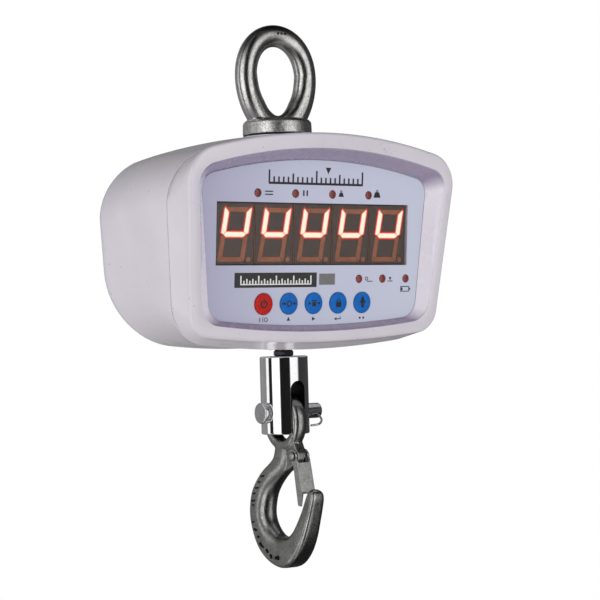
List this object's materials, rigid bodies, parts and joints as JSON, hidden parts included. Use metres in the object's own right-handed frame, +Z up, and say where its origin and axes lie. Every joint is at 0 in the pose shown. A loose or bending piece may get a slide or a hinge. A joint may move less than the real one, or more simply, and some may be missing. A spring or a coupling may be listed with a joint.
{
  "type": "crane scale",
  "caption": "Hanging crane scale with a lifting eye, tilted key panel with a red digit display, load cell, swivel clevis and an eye hook with a sprung safety latch.",
  "frame": {"origin": "highest point inside the lifting eye, where a crane's hook or shackle bears", "axes": "+Z up along the load line, -Y out of the key panel, +X to the right seen from the front"},
  "size_m": [0.2202, 0.1413, 0.3724],
  "materials": {
    "forged_eye": "zinc-coated drop forging with a fine mottled skin",
    "forged_hook": "zinc-coated drop forging, darker in its hollows",
    "chrome": "bright chromium plate",
    "rubber": "matt black rubber",
    "paint": "glossy pale grey powder coat on an aluminium casting",
    "steel": "zinc-plated steel",
    "zinc_sheet": "zinc-plated pressed sheet",
    "black_steel": "blackened steel",
    "aluminium": "machined aluminium",
    "panel_film": "satin pale blue polyester film",
    "smoked_window": "smoked clear acrylic",
    "digit_body": "dark grey-brown moulded plastic",
    "lamp": "dull red diffused lens",
    "key_red": "satin red key",
    "key_blue": "satin blue key",
    "circuit_board": "green solder mask",
    "battery_case": "dark grey battery case",
    "black_plastic": "black moulded plastic"
  },
  "bodies": {
    "housing": {"lifting_eye": "forged_eye", "eye_gasket": "rubber", "housing_clamp_nut": "steel", "cell_lock_nut": "steel", "load_cell": "aluminium", "bearing_cup": "steel", "bearing_cap": "steel", "bearing_lower_race": "steel", "bottom_boot": "rubber", "front_cover": "paint", "rear_cover": "paint", "cover_gasket": "rubber", "panel_overlay": "panel_film", "window_filter": "smoked_window", "digit_1": "digit_body", "digit_2": "digit_body", "digit_3": "digit_body", "digit_4": "digit_body", "digit_5": "digit_body", "indicator_stable": "lamp", "indicator_hold": "lamp", "indicator_pounds": "lamp", "indicator_kilograms": "lamp", "indicator_zero": "lamp", "indicator_tare": "lamp", "indicator_low_battery": "lamp", "display_board": "circuit_board", "key_board": "circuit_board", "main_board": "circuit_board", "battery": "battery_case", "battery_bracket": "aluminium", "battery_cover": "paint", "battery_cover_screw_1": "steel", "battery_cover_screw_2": "steel", "battery_cover_screw_3": "steel", "battery_cover_screw_4": "steel", "cover_screw_1": "steel", "cover_screw_2": "steel", "cover_screw_3": "steel", "cover_screw_4": "steel", "charge_socket": "black_plastic", "load_cell_cable": "rubber"},
    "swivel": {"hook_stud": "black_steel", "stud_nut": "steel", "stud_cotter": "steel", "bearing_upper_race": "steel", "clevis_block": "chrome", "clevis_pin": "chrome", "split_pin": "steel"},
    "bearing_cage": {"ball_cage": "steel"},
    "hook": {"hook": "forged_hook", "latch_rivet": "zinc_sheet"},
    "latch": {"latch": "zinc_sheet", "latch_spring": "steel"},
    "key_power": {"key_power": "key_red"},
    "key_zero": {"key_zero": "key_blue"},
    "key_tare": {"key_tare": "key_blue"},
    "key_hold": {"key_hold": "key_blue"},
    "key_shift": {"key_shift": "key_blue"},
    "socket_cap": {"socket_cap": "rubber"}
  },
  "joints": [
    {"name": "swivel_turn", "type": "hinge", "parent": "housing", "child": "swivel", "pos_m": [0, 0, -0.2], "axis": [0, 0, 1], "continuous": true},
    {"name": "cage_turn", "type": "hinge", "parent": "housing", "child": "bearing_cage", "pos_m": [0, 0, -0.18], "axis": [0, 0, 1], "continuous": true},
    {"name": "hook_swing", "type": "hinge", "parent": "swivel", "child": "hook", "pos_m": [0, 0, -0.2508], "axis": [1, 0, 0], "range_deg": [-75, 75]},
    {"name": "latch_open", "type": "hinge", "parent": "hook", "child": "latch", "pos_m": [0, -0.0145, -0.2803], "axis": [1, 0, 0], "range_deg": [0, 35], "stiffness_Nm_per_rad": 0.03, "springref_deg": -34.38},
    {"name": "key_power_press", "type": "slide", "parent": "housing", "child": "key_power", "axis": [0, 0.9962, 0.0872], "range_m": [0, 0.0006], "stiffness_N_per_m": 800, "springref_m": -0.0003},
    {"name": "key_zero_press", "type": "slide", "parent": "housing", "child": "key_zero", "axis": [0, 0.9962, 0.0872], "range_m": [0, 0.0006], "stiffness_N_per_m": 800, "springref_m": -0.0003},
    {"name": "key_tare_press", "type": "slide", "parent": "housing", "child": "key_tare", "axis": [0, 0.9962, 0.0872], "range_m": [0, 0.0006], "stiffness_N_per_m": 800, "springref_m": -0.0003},
    {"name": "key_hold_press", "type": "slide", "parent": "housing", "child": "key_hold", "axis": [0, 0.9962, 0.0872], "range_m": [0, 0.0006], "stiffness_N_per_m": 800, "springref_m": -0.0003},
    {"name": "key_shift_press", "type": "slide", "parent": "housing", "child": "key_shift", "axis": [0, 0.9962, 0.0872], "range_m": [0, 0.0006], "stiffness_N_per_m": 800, "springref_m": -0.0003},
    {"name": "socket_cap_pull", "type": "slide", "parent": "housing", "child": "socket_cap", "axis": [0, 1, 0], "range_m": [0, 0.012]}
  ],
  "couplings": [
    {"joint": "cage_turn", "follows": "swivel_turn", "ratio": 0.5}
  ]
}
